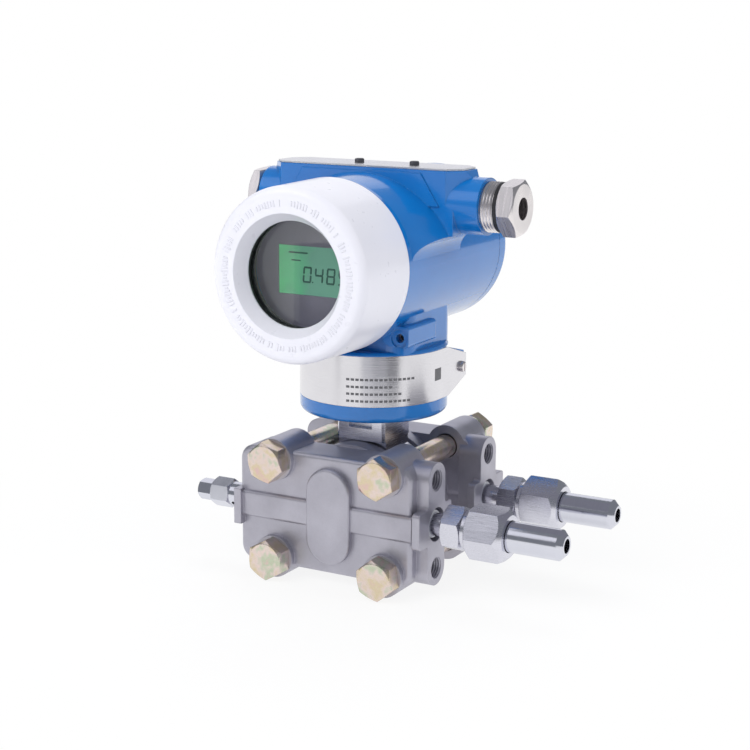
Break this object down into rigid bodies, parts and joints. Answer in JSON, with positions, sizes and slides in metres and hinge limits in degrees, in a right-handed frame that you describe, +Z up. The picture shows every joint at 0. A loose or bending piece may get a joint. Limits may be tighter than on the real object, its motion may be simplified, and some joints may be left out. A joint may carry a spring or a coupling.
{
  "type": "differential pressure transmitter",
  "caption": "Two-flange differential pressure sensor with bolted process flanges, weld nipples, vent valves and a round display head with cable gland.",
  "frame": {"origin": "centre of the manifold hole pattern, in the plane of the lug faces", "axes": "+X out of the process ports, +Y along the flange bolts to the rear, +Z up along the neck"},
  "size_m": [0.1949, 0.1438, 0.1941],
  "materials": {
    "blue_paint": "gloss",
    "white_paint": "gloss",
    "glass": "clear",
    "rubber": "matt",
    "cast_steel": "bead blasted",
    "machined_steel": "turned",
    "plate_steel": "brushed",
    "zinc_steel": "yellow zinc",
    "nickel": "nickel plated",
    "ptfe": "matt",
    "dark_screw": "dark",
    "bezel_plastic": "matt",
    "lcd": "smooth",
    "circuit_board": "matt",
    "terminal_plastic": "matt"
  },
  "bodies": {
    "transmitter": {"housing": "blue_paint", "front_cover_seal": "rubber", "display_bezel": "bezel_plastic", "lcd_panel": "lcd", "electronics_board": "circuit_board", "board_standoffs": "nickel", "terminal_block": "terminal_plastic", "terminal_screws": "nickel", "top_plate": "plate_steel", "top_plate_screws": "dark_screw", "name_band": "plate_steel", "band_screws": "nickel", "cover_lock_screws": "dark_screw", "cable_gland": "nickel", "gland_seal": "rubber", "cable_bush": "rubber", "conduit_plug": "nickel", "plug_seal": "rubber", "sensor_neck": "machined_steel", "sensor_capsule": "machined_steel", "flange_bolts": "zinc_steel", "flange_nuts": "zinc_steel", "flange_washers": "zinc_steel", "flange_front": "cast_steel", "gasket_front": "ptfe", "diaphragm_front": "machined_steel", "port_adapter_front": "machined_steel", "port_seal_front": "ptfe", "vent_seat_front": "machined_steel", "vent_seal_front": "ptfe", "flange_rear": "cast_steel", "gasket_rear": "ptfe", "diaphragm_rear": "machined_steel", "port_adapter_rear": "machined_steel", "port_seal_rear": "ptfe", "vent_seat_rear": "machined_steel", "vent_seal_rear": "ptfe"},
    "front_glass_travel": {"front_glass": "glass"},
    "front_cover_ring": {"front_cover": "white_paint", "glass_gasket": "rubber"},
    "rear_seal_travel": {"rear_cover_seal": "rubber"},
    "rear_cover_disc": {"rear_cover": "blue_paint"},
    "nipple_front": {"weld_nipple_front": "machined_steel"},
    "union_nut_front": {"union_nut_front": "machined_steel"},
    "vent_stem_front": {"vent_stem_front": "machined_steel"},
    "nipple_rear": {"weld_nipple_rear": "machined_steel"},
    "union_nut_rear": {"union_nut_rear": "machined_steel"},
    "vent_stem_rear": {"vent_stem_rear": "machined_steel"}
  },
  "joints": [
    {"name": "front_cover_travel", "type": "slide", "parent": "transmitter", "child": "front_glass_travel", "axis": [0, -1, 0], "range_m": [0, 0.014]},
    {"name": "front_cover_turn", "type": "hinge", "parent": "front_glass_travel", "child": "front_cover_ring", "pos_m": [-0.048, -0.058, 0.1162], "axis": [0, -1, 0], "range_deg": [0, 2520]},
    {"name": "rear_cover_travel", "type": "slide", "parent": "transmitter", "child": "rear_seal_travel", "axis": [0, 1, 0], "range_m": [0, 0.01]},
    {"name": "rear_cover_turn", "type": "hinge", "parent": "rear_seal_travel", "child": "rear_cover_disc", "pos_m": [-0.048, 0.056, 0.1162], "axis": [0, 1, 0], "range_deg": [0, 1800]},
    {"name": "nipple_travel_front", "type": "slide", "parent": "transmitter", "child": "nipple_front", "axis": [1, 0, 0], "range_m": [0, 0.0075]},
    {"name": "union_turn_front", "type": "hinge", "parent": "nipple_front", "child": "union_nut_front", "pos_m": [0.03, -0.027, 0], "axis": [1, 0, 0], "range_deg": [0, 1800]},
    {"name": "vent_turn_front", "type": "hinge", "parent": "transmitter", "child": "vent_stem_front", "pos_m": [-0.124, -0.027, -0.0016], "axis": [-1, 0, 0], "range_deg": [0, 540]},
    {"name": "nipple_travel_rear", "type": "slide", "parent": "transmitter", "child": "nipple_rear", "axis": [1, 0, 0], "range_m": [0, 0.0075]},
    {"name": "union_turn_rear", "type": "hinge", "parent": "nipple_rear", "child": "union_nut_rear", "pos_m": [0.03, 0.027, 0], "axis": [1, 0, 0], "range_deg": [0, 1800]},
    {"name": "vent_turn_rear", "type": "hinge", "parent": "transmitter", "child": "vent_stem_rear", "pos_m": [-0.124, 0.027, 0.0016], "axis": [-1, 0, 0], "range_deg": [0, 540]}
  ],
  "couplings": [
    {"joint": "front_cover_travel", "follows": "front_cover_turn", "m_per_rad": 0.00031831},
    {"joint": "rear_cover_travel", "follows": "rear_cover_turn", "m_per_rad": 0.00031831},
    {"joint": "nipple_travel_front", "follows": "union_turn_front", "m_per_rad": 0.00023873},
    {"joint": "nipple_travel_rear", "follows": "union_turn_rear", "m_per_rad": 0.00023873}
  ]
}
